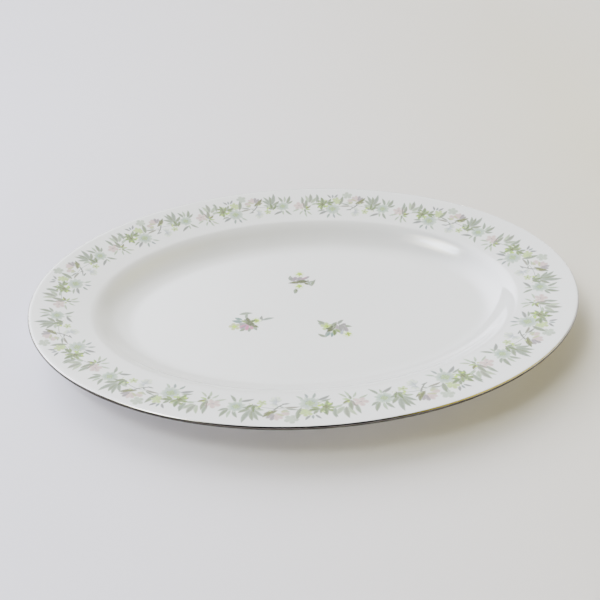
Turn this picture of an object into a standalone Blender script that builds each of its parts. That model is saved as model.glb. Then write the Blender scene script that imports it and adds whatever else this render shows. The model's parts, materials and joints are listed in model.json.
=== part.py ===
"""Oval china serving platter, as named sub-parts, in metres with +Z up.

The origin is on the table, under the middle of the platter. +X is the long way.
Every outline is an ellipse, and a place on the platter is given by its inset:
the distance inwards from the outermost edge of the lip, measured along the long
axis. The same inset is a little less along the short axis, as on the real rim.
"""

import math

import bmesh
import bpy

# Overall size
LENGTH = 0.380
WIDTH = 0.2736
LIP_HEIGHT = 0.0260
SIDE_SHARE = 0.935  # inset along the short axis, as a share of that along the long axis

# Rim and lip
RIM_SLOPE = math.radians(10.0)
LIP_THICKNESS = 0.0030
LIP_NOSE_DEPTH = 0.0016
RIM_THICKNESS = 0.0036  # at the shoulder
RIM_TOP_START = 0.0025
SHOULDER_INSET = 0.0445
SHOULDER_BLEND = 0.0030

# Well
FLOOR_TOP = 0.0058
WALL_RUN = 0.0270
WALL_CURVE = 2.2  # exponent: 1 is a straight wall, more is a deeper cove
BASE_UNDERSIDE = 0.0023

# Underside, as (inset, height) steps from the shoulder's underside or the base
UNDER_RIM_END = (-0.0010, 0.0006)
UNDER_BEND = (0.0040, -0.0004)
UNDER_WALL = (0.0090, -0.0062)
UNDER_COVE = (0.0125, 0.0024)

# Foot ring
FOOT_INSET = 0.0615
FOOT_HEIGHT = 0.0020
FOOT_BOTTOM_WIDTH = 0.0030
FOOT_TOP_WIDTH = 0.0046

# Fired-on layers stand this far off the glaze, and are this thick
GAP = 0.0003
LAYER = 0.0002

# Border transfer
REPEATS = 11
BORDER_MIDDLE_INSET = 0.0225
BORDER_HALF_WIDTH = 0.0120
BORDER_SHIFT = 0.0030  # the border sits this far towards -X from the middle of the rim
BORDER_START = 0.0568  # share of the border's length at which the first repeat starts
BORDER_DRIFT = ((1, 0.0141, 1.25), (2, 0.0031, 3.66))  # waves per turn, share, phase
REPEAT_FILL = 0.93  # share of its pitch that a repeat covers
LOBE_BASE = 0.62  # half width at a repeat's ends, as a share of BORDER_HALF_WIDTH
LOBE_SWELL = 0.30
REPEAT_SWELL = 0.08
BORDER_STEPS = 3300  # equal lengths that the border's middle line is divided into

# Centre sprays
SPRAY_CIRCLE_CENTRE = (-0.0090, 0.0017)
SPRAY_CIRCLE_RADIUS = 0.0346
SPRAY_RADIUS = 0.0115
SPRAY_LOBES = 5
SPRAY_LOBE_DEPTH = 0.14  # share of the spray's radius
SPRAY_FIRST_ANGLE = math.radians(77)

# Platinum line: where it starts and ends round the lip's nose
LINE_UPPER_END = math.radians(82)
LINE_LOWER_END = math.radians(-35)

# Fineness of the meshes
SEGMENTS = 96
WALL_STEPS = 7
RIM_STEPS = 4
LIP_STEPS = 8
LINE_STEPS = 6
SHOULDER_STEPS = 4
UNDER_STEPS = 4
COVE_STEPS = 3
REPEAT_COLUMNS = 12
REPEAT_ROWS = 3
SPRAY_POINTS = 30
ARC_STEPS = 7200


def clear_scene():
    for obj in list(bpy.data.objects):
        bpy.data.objects.remove(obj, do_unlink=True)


def new_material(name, colour, roughness, metallic=0.0, coat=0.0):
    made = bpy.data.materials.new(name)
    made.use_nodes = True
    shader = made.node_tree.nodes["Principled BSDF"]
    shader.inputs["Base Color"].default_value = (*colour, 1.0)
    shader.inputs["Roughness"].default_value = roughness
    shader.inputs["Metallic"].default_value = metallic
    shader.inputs["Coat Weight"].default_value = coat
    return made


def oval_point(inset, turn):
    """The point at this inset, at an angle of turn round the ellipse."""
    long_half = LENGTH / 2 - inset
    short_half = WIDTH / 2 - inset * SIDE_SHARE
    return long_half * math.cos(turn), short_half * math.sin(turn)


def rim_top(inset):
    """Height of the rim's upper face, which falls evenly from the lip to the shoulder."""
    return LIP_HEIGHT - max(inset - RIM_TOP_START, 0.0) * math.tan(RIM_SLOPE)


def wall_top(inset):
    """Height of the well wall's upper face: steep at the shoulder, easing into the floor."""
    left = 1.0 - (inset - SHOULDER_INSET) / WALL_RUN
    return FLOOR_TOP + (rim_top(SHOULDER_INSET) - FLOOR_TOP) * max(left, 0.0) ** WALL_CURVE


def blend(start, corner, end, steps):
    """Points strictly between start and end on the curve that rounds off the corner."""
    points = []
    for step in range(1, steps):
        t = step / steps
        points.append(
            tuple(
                (1 - t) ** 2 * a + 2 * t * (1 - t) * b + t**2 * c
                for a, b, c in zip(start, corner, end)
            )
        )
    return points


def nose(offset, first, last, steps):
    """Points round the lip's half-round nose, grown by offset, from angle first to last.

    Angle 0 points straight out, 90 degrees is the top of the nose.
    """
    tip = LAYER + GAP
    points = []
    for step in range(steps + 1):
        angle = first + (last - first) * step / steps
        inset = tip + LIP_NOSE_DEPTH - (LIP_NOSE_DEPTH + offset) * math.cos(angle)
        middle = LIP_HEIGHT - LIP_THICKNESS / 2
        points.append((inset, middle + (LIP_THICKNESS / 2 + offset) * math.sin(angle)))
    return points


def under_point(step, height):
    """A point of the underside, given as a step from the shoulder and its height."""
    return SHOULDER_INSET + step, height


def body_profile():
    """The body's section from the floor's edge, over the rim and lip, to the foot."""
    top = []
    floor_edge = SHOULDER_INSET + WALL_RUN
    for step in range(WALL_STEPS + 1):
        inset = floor_edge - (WALL_RUN - SHOULDER_BLEND) * step / WALL_STEPS
        top.append((inset, wall_top(inset)))
    rim_end = SHOULDER_INSET - SHOULDER_BLEND
    corner = (SHOULDER_INSET, rim_top(SHOULDER_INSET))
    top += blend(top[-1], corner, (rim_end, rim_top(rim_end)), SHOULDER_STEPS)
    for step in range(RIM_STEPS + 1):
        inset = rim_end + (RIM_TOP_START - rim_end) * step / RIM_STEPS
        top.append((inset, rim_top(inset)))

    lip = nose(0.0, math.radians(90), math.radians(-90), LIP_STEPS)

    shoulder_under = rim_top(SHOULDER_INSET) - RIM_THICKNESS
    turn_in = under_point(UNDER_RIM_END[0], shoulder_under + UNDER_RIM_END[1])
    bend = under_point(UNDER_BEND[0], shoulder_under + UNDER_BEND[1])
    turn_out = under_point(UNDER_WALL[0], shoulder_under + UNDER_WALL[1])
    cove = under_point(UNDER_COVE[0], BASE_UNDERSIDE + UNDER_COVE[1])
    foot_outer = (FOOT_INSET - FOOT_TOP_WIDTH / 2, BASE_UNDERSIDE)
    under = [turn_in]
    under += blend(turn_in, bend, turn_out, UNDER_STEPS)
    under += [turn_out]
    under += blend(turn_out, cove, foot_outer, COVE_STEPS)
    under += [foot_outer]
    return top + lip + under


def finish_object(name, mesh_builder, colour_material, sharp_degrees=35.0):
    """Turn a filled bmesh into a smooth-shaded object with its material."""
    bmesh.ops.recalc_face_normals(mesh_builder, faces=mesh_builder.faces)
    mesh = bpy.data.meshes.new(name)
    mesh_builder.to_mesh(mesh)
    mesh_builder.free()
    mesh.shade_smooth()
    mesh.set_sharp_from_angle(angle=math.radians(sharp_degrees))
    mesh.materials.append(colour_material)
    obj = bpy.data.objects.new(name, mesh)
    bpy.context.scene.collection.objects.link(obj)
    return obj


def add_ring(builder, inset, height):
    ring = []
    for step in range(SEGMENTS):
        x, y = oval_point(inset, 2 * math.pi * step / SEGMENTS)
        ring.append(builder.verts.new((x, y, height)))
    return ring


def join_rings(builder, lower, upper):
    for step in range(SEGMENTS):
        after = (step + 1) % SEGMENTS
        builder.faces.new((lower[step], lower[after], upper[after], upper[step]))


def make_body(glaze):
    """The fired china: one closed oval loft, flat across the floor and the base."""
    builder = bmesh.new()
    rings = [add_ring(builder, inset, height) for inset, height in body_profile()]
    for before, after in zip(rings, rings[1:]):
        join_rings(builder, before, after)
    builder.faces.new(rings[0])
    builder.faces.new(rings[-1])
    return finish_object("platter_body", builder, glaze)


def make_hoop(name, profile, colour_material, sharp_degrees=35.0):
    """A closed section carried all the way round the oval."""
    builder = bmesh.new()
    rings = [add_ring(builder, inset, height) for inset, height in profile]
    for index, ring in enumerate(rings):
        join_rings(builder, ring, rings[(index + 1) % len(rings)])
    return finish_object(name, builder, colour_material, sharp_degrees)


def make_foot(bare_clay):
    """The unglazed foot ring, wider where it meets the base."""
    profile = [
        (FOOT_INSET - FOOT_TOP_WIDTH / 2, FOOT_HEIGHT),
        (FOOT_INSET - FOOT_BOTTOM_WIDTH / 2, 0.0),
        (FOOT_INSET + FOOT_BOTTOM_WIDTH / 2, 0.0),
        (FOOT_INSET + FOOT_TOP_WIDTH / 2, FOOT_HEIGHT),
    ]
    return make_hoop("foot_ring", profile, bare_clay)


def make_rim_band(platinum):
    """The platinum line: a thin skin over the upper two thirds of the lip's nose."""
    outer = nose(GAP + LAYER, LINE_UPPER_END, LINE_LOWER_END, LINE_STEPS)
    inner = nose(GAP, LINE_LOWER_END, LINE_UPPER_END, LINE_STEPS)
    return make_hoop("rim_band", outer + inner, platinum, 50.0)


def border_turns():
    """Angles that divide the border's middle line into BORDER_STEPS equal lengths."""
    lengths = [0.0]
    last = oval_point(BORDER_MIDDLE_INSET, 0.0)
    for step in range(1, ARC_STEPS + 1):
        point = oval_point(BORDER_MIDDLE_INSET, 2 * math.pi * step / ARC_STEPS)
        lengths.append(lengths[-1] + math.dist(last, point))
        last = point
    turns = []
    step = 0
    for index in range(BORDER_STEPS):
        wanted = lengths[-1] * index / BORDER_STEPS
        while lengths[step + 1] < wanted:
            step += 1
        part = (wanted - lengths[step]) / (lengths[step + 1] - lengths[step])
        turns.append(2 * math.pi * (step + part) / ARC_STEPS)
    return turns


def border_share(repeats):
    """Share of the border's length that this many repeats reach; they aren't quite even."""
    share = BORDER_START + repeats / REPEATS
    for waves, size, phase in BORDER_DRIFT:
        share += size * math.sin(waves * 2 * math.pi * repeats / REPEATS + phase)
    return share


def make_border_repeat(index, turns, enamel):
    """One repeat of the border transfer: a thin lobed strip that follows the sloping rim."""
    builder = bmesh.new()
    sheets = []
    for lift in (GAP, GAP + LAYER):
        sheet = []
        for column in range(REPEAT_COLUMNS + 1):
            along = column / REPEAT_COLUMNS
            share = border_share(index + along * REPEAT_FILL)
            turn = turns[int(round(share * BORDER_STEPS)) % BORDER_STEPS]
            two_lobes = abs(math.sin(2 * math.pi * along))
            lobe = LOBE_BASE + LOBE_SWELL * two_lobes + REPEAT_SWELL * math.sin(math.pi * along)
            line = []
            for row in range(REPEAT_ROWS + 1):
                across = 2 * row / REPEAT_ROWS - 1
                middle = BORDER_MIDDLE_INSET + BORDER_SHIFT * math.cos(turn)
                inset = middle + across * lobe * BORDER_HALF_WIDTH
                x, y = oval_point(inset, turn)
                line.append(builder.verts.new((x, y, rim_top(inset) + lift)))
            sheet.append(line)
        sheets.append(sheet)
    for sheet in sheets:
        for before, after in zip(sheet, sheet[1:]):
            for row in range(REPEAT_ROWS):
                builder.faces.new((before[row], after[row], after[row + 1], before[row + 1]))
    lower = border_loop(sheets[0])
    upper = border_loop(sheets[1])
    for step in range(len(lower)):
        after = (step + 1) % len(lower)
        builder.faces.new((lower[step], lower[after], upper[after], upper[step]))
    return finish_object(f"border_transfer_{index + 1:02d}", builder, enamel)


def border_loop(sheet):
    """The outline of a grid of points, in order."""
    first = [line[0] for line in sheet]
    far = sheet[-1][1:]
    last = [line[-1] for line in reversed(sheet[:-1])]
    near = list(reversed(sheet[0][1:-1]))
    return first + far + last + near


def make_centre_spray(name, angle, enamel):
    """A small spray transfer on the well floor: a thin five-lobed plate."""
    centre_x = SPRAY_CIRCLE_CENTRE[0] + SPRAY_CIRCLE_RADIUS * math.cos(angle)
    centre_y = SPRAY_CIRCLE_CENTRE[1] + SPRAY_CIRCLE_RADIUS * math.sin(angle)
    builder = bmesh.new()
    loops = []
    for height in (FLOOR_TOP + GAP, FLOOR_TOP + GAP + LAYER):
        loop = []
        for step in range(SPRAY_POINTS):
            turn = 2 * math.pi * step / SPRAY_POINTS
            lobe = 1 - SPRAY_LOBE_DEPTH + SPRAY_LOBE_DEPTH * math.cos(SPRAY_LOBES * turn)
            radius = SPRAY_RADIUS * lobe
            x = centre_x + radius * math.cos(turn + angle)
            y = centre_y + radius * math.sin(turn + angle)
            loop.append(builder.verts.new((x, y, height)))
        loops.append(loop)
    for step in range(SPRAY_POINTS):
        after = (step + 1) % SPRAY_POINTS
        builder.faces.new((loops[0][step], loops[0][after], loops[1][after], loops[1][step]))
    builder.faces.new(loops[0])
    builder.faces.new(loops[1])
    return finish_object(name, builder, enamel)


def main():
    clear_scene()
    make_body(new_material("china_glaze", (0.80, 0.80, 0.78), 0.12, coat=0.6))
    make_foot(new_material("bare_clay", (0.74, 0.71, 0.65), 0.75))
    make_rim_band(new_material("platinum_line", (0.62, 0.61, 0.58), 0.14, metallic=1.0))

    turns = border_turns()
    border_enamel = new_material("border_enamel", (0.50, 0.58, 0.48), 0.20, coat=0.4)
    for index in range(REPEATS):
        make_border_repeat(index, turns, border_enamel)

    spray_enamel = new_material("spray_enamel", (0.55, 0.52, 0.42), 0.20, coat=0.4)
    for index, name in enumerate(("centre_spray_back", "centre_spray_left", "centre_spray_right")):
        make_centre_spray(name, SPRAY_FIRST_ANGLE + index * 2 * math.pi / 3, spray_enamel)


main()
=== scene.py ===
"""Looks for the oval china serving platter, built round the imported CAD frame.

Lengths are in metres, but the transfer's design is in millimetres. A place on the border is its
distance along the repeat and in from the lip, and a place on a spray is x and y from its middle. A
shape drawn at a place on the border has x along the rim, counter-clockwise, and y towards the lip.
"""

import json
import math
from collections import namedtuple

import bpy
import numpy as np
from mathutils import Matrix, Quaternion, Vector

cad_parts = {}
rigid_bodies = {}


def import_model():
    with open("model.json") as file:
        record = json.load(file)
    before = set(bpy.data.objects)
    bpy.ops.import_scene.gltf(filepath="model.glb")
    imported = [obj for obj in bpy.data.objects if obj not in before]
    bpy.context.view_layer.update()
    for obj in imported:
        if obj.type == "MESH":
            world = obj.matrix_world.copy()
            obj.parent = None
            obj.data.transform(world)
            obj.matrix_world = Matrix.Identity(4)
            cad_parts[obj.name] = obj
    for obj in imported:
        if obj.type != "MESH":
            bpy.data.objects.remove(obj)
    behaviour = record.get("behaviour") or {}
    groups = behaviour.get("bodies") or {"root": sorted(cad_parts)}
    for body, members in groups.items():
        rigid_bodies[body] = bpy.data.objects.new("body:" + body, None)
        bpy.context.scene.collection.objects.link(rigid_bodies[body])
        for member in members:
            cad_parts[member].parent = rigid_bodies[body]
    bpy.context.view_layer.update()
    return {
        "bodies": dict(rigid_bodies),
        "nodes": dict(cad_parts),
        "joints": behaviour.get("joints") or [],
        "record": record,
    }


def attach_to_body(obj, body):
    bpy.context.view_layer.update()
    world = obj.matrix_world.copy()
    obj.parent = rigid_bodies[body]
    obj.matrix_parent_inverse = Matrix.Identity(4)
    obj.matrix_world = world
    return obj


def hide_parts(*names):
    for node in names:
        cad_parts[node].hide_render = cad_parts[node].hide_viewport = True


# The platter's dimensions, the same as the CAD model's. An inset is a distance in from the end of
# the oval, and counts by SIDE_SHARE at its sides.
LENGTH = 0.380
WIDTH = 0.2736
SIDE_SHARE = 0.935
LIP_HEIGHT = 0.0260
LIP_INSET = 0.0005
LIP_THICKNESS = 0.0030
LIP_NOSE_DEPTH = 0.0016
RIM_SLOPE = math.radians(10.0)
RIM_TOP_START = 0.0025
RIM_THICKNESS = 0.0036
SHOULDER_INSET = 0.0445
SHOULDER_BLEND = 0.0042
WALL_RUN = 0.0270
WALL_CURVE = 2.45  # the power by which the wall falls from the shoulder to the floor
FLOOR_TOP = 0.0058
BASE_UNDERSIDE = 0.0023
FOOT_INSET = 0.0615
FOOT_BOTTOM_WIDTH = 0.0030
FOOT_TOP_WIDTH = 0.0046
GLAZE_END = 0.0008  # height on the foot where the glaze stops

# Points that the underside's curves pass or aim at: inwards from the shoulder, and up from the
# rim's underside there, or from the base for the last one
UNDER_TURN_IN = (-0.0010, 0.0006)
UNDER_TURN_AIM = (0.0040, -0.0004)
UNDER_TURN_OUT = (0.0090, -0.0062)
UNDER_FOOT_AIM = (0.0125, 0.0024)
FOOT_FLARE = 0.0006
FOOT_AIM = (0.0005, -0.0003)
GLAZE_OVERHANG = 0.0002

# The bare foot's rounded corner: out from the foot's side, and height
FOOT_CORNER = ((0.00005, 0.00095), (0.00005, 0.00055), (-0.00010, 0.00020), (-0.00045, 0.0))

# The platinum line: where it lies on the lip's nose, and its skin's height over the glaze
LINE_FIRST = math.radians(68)
LINE_LAST = math.radians(-24)
# Below the first of these two angles the line's metal is painted dark, a painted shade that stands for
# a dark reflection; above the second it keeps the brighter platinum colour
LINE_PAINTED_SHADE_BELOW = math.radians(33)
LINE_BRIGHT_ABOVE = math.radians(46)
LINE_SKIN = 0.00006
LINE_BED = -0.00008
LINE_EDGE = -0.00001
LINE_EDGE_ANGLE = 0.05

# Border transfer: how its repeats are laid round the rim
REPEATS = 11
REPEAT_LENGTH = 94.0  # millimetres
BORDER_MIDDLE_INSET = 0.0225
BORDER_SHIFT = 0.0030  # how far the border sits off centre, to the left
BORDER_START = 0.0568  # share of the way round at which the first repeat begins
BORDER_DRIFT = ((1, 0.0141, 1.25), (2, 0.0031, 3.66))  # waves round the rim, size and phase
BORDER_EXTRA_INSET = 2.0  # millimetres added to the drawing's distance from the lip

# Enamel: heights in millimetres; each blade lies a step above the one before
ENAMEL_LIFT = 0.010
ENAMEL_LIFT_STEP = 0.00045
ENAMEL_CROWN = 0.004
ENAMEL_SUNK_EDGE = -0.012
ENAMEL_UNDERSIDE = -0.03
THINNEST_BLADE = 0.02  # half of its width, in millimetres
BLADE_STATIONS = 9
LARGE_DOT = 1.2  # millimetres; a dot above this radius is laid in two crossing blades
BLOSSOM_PETALS = 5
BORDER_EDGE_FADE = 0.42  # share of bare glaze at a blade's outer edge
SPRAY_EDGE_FADE = 0.22
END_FADE = 0.30  # and at its two ends

# Centre sprays
SPRAY_CIRCLE_CENTRE = (-0.0090, 0.0017)
SPRAY_CIRCLE_RADIUS = 0.0346
SPRAY_FIRST_ANGLE = math.radians(77)

# Fineness: steps round the oval and along each stretch of the section
SEGMENTS = 384
WALL_STEPS = 39
SHOULDER_STEPS = 14
RIM_STEPS = 23
NOSE_STEPS = 16
UNDER_RIM_STEPS = 16
UNDER_TURN_STEPS = 10
UNDER_FOOT_STEPS = 8
FOOT_STEPS = 4
MIDDLE_LINE_POINTS = 14401
NEWTON_STEPS = 5

# Studio: a round floor that sweeps up into a backdrop
FLOOR_RADIUS = 1.8
SWEEP_RADIUS = 4.6
SWEEP_END = math.radians(60)
SWEEP_STEPS = 20
FLOOR_SEGMENTS = 96

# The window: azimuth and elevation in degrees, size in metres, power in watts
WINDOW_WAY = (198, 58)
WINDOW_DISTANCE = 1.8
WINDOW_SIZE = (0.62, 0.22)
WINDOW_POWER = 6.0
WINDOW_COLOUR = (0.78, 0.92, 1.25)

# Soft patches of light all round: azimuth, elevation and radius in degrees, then strength
WORLD_PATCHES = (
    (90, 42, 46, (2.50, 2.52, 2.62)),
    (135, 31, 45, (8.7, 8.9, 10.3)),
    (345, 28, 42, (1.45, 1.25, 0.02)),
    (189, 57, 11, (6.9, 6.7, 5.6)),
    (198, 58, 11, (6.9, 6.7, 5.6)),
    (207, 58, 11, (6.9, 6.7, 5.6)),
)

# Camera: a 57 mm lens, 38 degrees above the table and a little to the left
CAMERA_DISTANCE = 0.67488
CAMERA_ELEVATION = math.radians(37.951)
CAMERA_SIDE = math.radians(-6.678)
CAMERA_LENS = 56.986
LOOK_SIDEWAYS = math.radians(0.3832)
LOOK_UPWARDS = math.radians(1.0470)


# ---- shape of the platter


def oval_point(inset, turn):
    long_half = LENGTH / 2 - inset
    short_half = WIDTH / 2 - inset * SIDE_SHARE
    return long_half * np.cos(turn), short_half * np.sin(turn)


def rim_top(inset):
    return LIP_HEIGHT - np.maximum(inset - RIM_TOP_START, 0.0) * math.tan(RIM_SLOPE)


def wall_top(inset):
    left = np.maximum(1.0 - (inset - SHOULDER_INSET) / WALL_RUN, 0.0)
    return FLOOR_TOP + (float(rim_top(SHOULDER_INSET)) - FLOOR_TOP) * left**WALL_CURVE


def wall_corner(wall_end):
    """Where the rim's line meets the wall's line at the end of the shoulder's curve."""
    small = 1e-5
    slope = float(wall_top(wall_end - small) - wall_top(wall_end + small)) / (2 * small)
    rim_fall = math.tan(RIM_SLOPE)
    gap = float(rim_top(wall_end) - wall_top(wall_end))
    inset = wall_end - gap / (slope - rim_fall)
    return inset, float(rim_top(inset))


def bezier(start, aim, end, steps):
    """Points on the curve from start to end, without those two."""
    points = []
    for step in range(1, steps):
        t = step / steps
        weights = ((1 - t) ** 2, 2 * t * (1 - t), t**2)
        points.append(tuple(sum(w * v for w, v in zip(weights, row)) for row in zip(start, aim, end)))
    return points


def shifted(inset, height, shift):
    return inset + shift[0], height + shift[1]


def nose(offset, first, last, steps):
    """Points round the lip's half-round nose, grown by offset; 0 is straight out, 90 degrees up."""
    points = []
    for step in range(steps + 1):
        angle = first + (last - first) * step / steps
        inset = LIP_INSET + LIP_NOSE_DEPTH - (LIP_NOSE_DEPTH + offset) * math.cos(angle)
        middle = LIP_HEIGHT - LIP_THICKNESS / 2
        points.append((inset, middle + (LIP_THICKNESS / 2 + offset) * math.sin(angle)))
    return points


def body_profile():
    """The china's section, from the floor's edge over the rim and lip to inside the foot."""
    top = []
    floor_edge = SHOULDER_INSET + WALL_RUN
    wall_end = SHOULDER_INSET + SHOULDER_BLEND
    for step in range(WALL_STEPS + 1):
        inset = floor_edge + (wall_end - floor_edge) * (step / WALL_STEPS)
        top.append((inset, float(wall_top(inset))))
    rim_end = SHOULDER_INSET - SHOULDER_BLEND
    rim_end_top = (rim_end, float(rim_top(rim_end)))
    top += bezier(top[-1], wall_corner(wall_end), rim_end_top, SHOULDER_STEPS)
    for step in range(RIM_STEPS + 1):
        inset = rim_end + (RIM_TOP_START - rim_end) * step / RIM_STEPS
        top.append((inset, float(rim_top(inset))))

    lip = nose(0.0, math.radians(90), math.radians(-90), NOSE_STEPS)

    under_height = float(rim_top(SHOULDER_INSET)) - RIM_THICKNESS
    turn_in = shifted(SHOULDER_INSET, under_height, UNDER_TURN_IN)
    turn_aim = shifted(SHOULDER_INSET, under_height, UNDER_TURN_AIM)
    turn_out = shifted(SHOULDER_INSET, under_height, UNDER_TURN_OUT)
    foot_aim = shifted(SHOULDER_INSET, BASE_UNDERSIDE, UNDER_FOOT_AIM)
    half_top = FOOT_TOP_WIDTH / 2 + FOOT_FLARE
    half_low = FOOT_BOTTOM_WIDTH / 2 + GLAZE_OVERHANG
    foot_outer = (FOOT_INSET - half_top, BASE_UNDERSIDE)
    outer_low = (FOOT_INSET - half_low, GLAZE_END)
    inner_low = (FOOT_INSET + half_low, GLAZE_END)
    foot_inner = (FOOT_INSET + half_top, BASE_UNDERSIDE)
    aim_in, aim_down = FOOT_AIM
    outer_aim = shifted(*foot_outer, (aim_in, aim_down))
    inner_aim = shifted(*foot_inner, (-aim_in, aim_down))
    under = []
    for step in range(1, UNDER_RIM_STEPS):
        t = step / UNDER_RIM_STEPS
        under.append(tuple(a + (b - a) * t for a, b in zip(lip[-1], turn_in)))
    under += [turn_in] + bezier(turn_in, turn_aim, turn_out, UNDER_TURN_STEPS)
    under += [turn_out] + bezier(turn_out, foot_aim, foot_outer, UNDER_FOOT_STEPS)
    under += [foot_outer] + bezier(foot_outer, outer_aim, outer_low, FOOT_STEPS)
    under += [outer_low, inner_low] + bezier(inner_low, inner_aim, foot_inner, FOOT_STEPS)
    return top + lip[1:] + under + [foot_inner]


def build(name, points, faces, material, smooth_angle=None):
    """A smooth-shaded mesh object; edges sharper than smooth_angle, in degrees, stay sharp."""
    mesh = bpy.data.meshes.new(name)
    mesh.from_pydata([tuple(p) for p in points], [], faces)
    mesh.validate()
    mesh.shade_smooth()
    if smooth_angle:
        mesh.set_sharp_from_angle(angle=math.radians(smooth_angle))
    mesh.materials.append(material)
    obj = bpy.data.objects.new(name, mesh)
    bpy.context.scene.collection.objects.link(obj)
    return obj


def ring_points(inset, height):
    turn = np.arange(SEGMENTS) * (2 * math.pi / SEGMENTS)
    x, y = oval_point(inset, turn)
    return np.stack([x, y, np.full(SEGMENTS, height)], axis=1)


def ring_faces(first, second, count=SEGMENTS):
    """Quads between two rings of count points, whose first points have these numbers."""
    faces = []
    for step in range(count):
        after = (step + 1) % count
        faces.append((first + step, first + after, second + after, second + step))
    return faces


def make_body(material):
    """The china body as one closed surface, its floor and base in narrowing ovals."""
    profile = body_profile()
    rings = [ring_points(inset, height) for inset, height in profile]
    floor_shares = [0.97, 0.93, 0.86, 0.76, 0.64, 0.5, 0.36, 0.22, 0.1, 0.03]
    inner_floor = [rings[0] * [share, share, 1.0] for share in reversed(floor_shares)]
    base_shares = [0.97, 0.9, 0.75, 0.55, 0.35, 0.15, 0.04]
    inner_base = [rings[-1] * [share, share, 1.0] for share in base_shares]
    rings = inner_floor + rings + inner_base
    points = [p for ring in rings for p in ring]
    faces = []
    for index in range(len(rings) - 1):
        faces += ring_faces((index + 1) * SEGMENTS, index * SEGMENTS)
    top_middle = len(points)
    points.append((0.0, 0.0, FLOOR_TOP))
    base_middle = len(points)
    points.append((0.0, 0.0, BASE_UNDERSIDE))
    last = (len(rings) - 1) * SEGMENTS
    for step in range(SEGMENTS):
        after = (step + 1) % SEGMENTS
        faces.append((top_middle, step, after))
        faces.append((base_middle, last + after, last + step))
    return build("china_body", points, faces, material)


def make_hoop(name, profile, material, smooth_angle=None):
    """A closed section, carried all the way round the oval."""
    rings = [ring_points(inset, height) for inset, height in profile]
    points = [p for ring in rings for p in ring]
    faces = []
    for index in range(len(rings)):
        after = (index + 1) % len(rings)
        faces += ring_faces(after * SEGMENTS, index * SEGMENTS)
    return build(name, points, faces, material, smooth_angle)


def make_foot(material):
    """The bare clay that the platter stands on: the foot's lowest millimetre."""
    half = FOOT_BOTTOM_WIDTH / 2
    profile = [(FOOT_INSET - half - out, height) for out, height in FOOT_CORNER]
    profile += [(FOOT_INSET + half + out, height) for out, height in reversed(FOOT_CORNER)]
    return make_hoop("bare_foot", profile, material, 50.0)


def make_line(material):
    """The platinum line: a thin skin on the lip's nose, bedded in the glaze at both edges."""
    outer = nose(LINE_SKIN, LINE_FIRST, LINE_LAST, NOSE_STEPS)
    inner = nose(LINE_BED, LINE_LAST, LINE_FIRST, NOSE_STEPS)
    edge_top = nose(LINE_EDGE, LINE_FIRST + LINE_EDGE_ANGLE, LINE_FIRST + LINE_EDGE_ANGLE, 1)[0]
    edge_low = nose(LINE_EDGE, LINE_LAST - LINE_EDGE_ANGLE, LINE_LAST - LINE_EDGE_ANGLE, 1)[0]
    obj = make_hoop("platinum_rim_line", [edge_top] + outer + [edge_low] + inner, material)
    share = np.arange(NOSE_STEPS + 1) / NOSE_STEPS
    angles = LINE_FIRST + (LINE_LAST - LINE_FIRST) * share
    climb = np.clip((angles - LINE_PAINTED_SHADE_BELOW) / (LINE_BRIGHT_ABOVE - LINE_PAINTED_SHADE_BELOW), 0.0, 1.0)
    whole = np.ones(NOSE_STEPS + 1)
    # for the material: edge is 1 at the line's edges, and upper is 1 on its bright upper part; where
    # upper is 0 the metal is painted dark, a painted shade
    for name, values in (
        ("edge", [[1.0], np.abs(2 * share - 1) ** 3, [1.0], whole]),
        ("upper", [[1.0], climb, [0.0], climb[::-1]]),
    ):
        attribute = obj.data.attributes.new(name, "FLOAT", "POINT")
        rows = np.concatenate(values).astype(np.float32)
        attribute.data.foreach_set("value", np.repeat(rows, SEGMENTS))
    return obj


# ---- laying shapes on the glaze


def middle_line():
    """Share of the border's length reached at each of many angles."""
    turn = np.linspace(0.0, 2 * math.pi, MIDDLE_LINE_POINTS)
    x, y = oval_point(BORDER_MIDDLE_INSET, turn)
    length = np.concatenate([[0.0], np.cumsum(np.hypot(np.diff(x), np.diff(y)))])
    return turn, length / length[-1]


TURNS, SHARES = middle_line()


def border_share(repeats):
    """Share of the way round that the border has reached after so many repeats."""
    turn = 2 * math.pi * repeats / REPEATS
    share = BORDER_START + repeats / REPEATS
    for waves, size, phase in BORDER_DRIFT:
        share += size * math.sin(waves * turn + phase)
    return share


Frame = namedtuple("Frame", "origin x_axis y_axis scale inset")


def rim_frame(repeat, along, inwards):
    """Place on the rim, the two directions there and the local stretch, for a place on a repeat."""
    repeats = repeat + along / REPEAT_LENGTH
    share = border_share(repeats)
    step = 0.02
    stretch = (border_share(repeats + step) - border_share(repeats - step)) / (2 * step) * REPEATS
    turn = float(np.interp(share % 1.0, SHARES, TURNS))
    inset = (inwards + BORDER_EXTRA_INSET) / 1000 + BORDER_SHIFT * math.cos(turn)
    x, y = oval_point(inset, turn)
    long_half = LENGTH / 2 - inset
    short_half = WIDTH / 2 - inset * SIDE_SHARE
    tangent = Vector((-long_half * math.sin(turn), short_half * math.cos(turn))).normalized()
    outward = Vector((tangent.y, -tangent.x))
    return Frame((float(x), float(y)), tuple(tangent), tuple(outward), stretch, inset)


def floor_frame(x, y):
    """The same for a place on the well's floor."""
    return Frame((x, y), (1.0, 0.0), (0.0, 1.0), 1.0, None)


def surface_height(x, y, start_inset):
    """Height of the rim's glaze above these points, or of the floor where there is no inset."""
    if start_inset is None:
        return np.full(x.shape, FLOOR_TOP)
    inset = np.full(x.shape, start_inset)
    for _ in range(NEWTON_STEPS):
        long_half = LENGTH / 2 - inset
        short_half = WIDTH / 2 - inset * SIDE_SHARE
        error = (x / long_half) ** 2 + (y / short_half) ** 2 - 1
        slope = 2 * x**2 / long_half**3 + 2 * SIDE_SHARE * y**2 / short_half**3
        inset = inset - error / slope
    return rim_top(inset)


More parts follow.
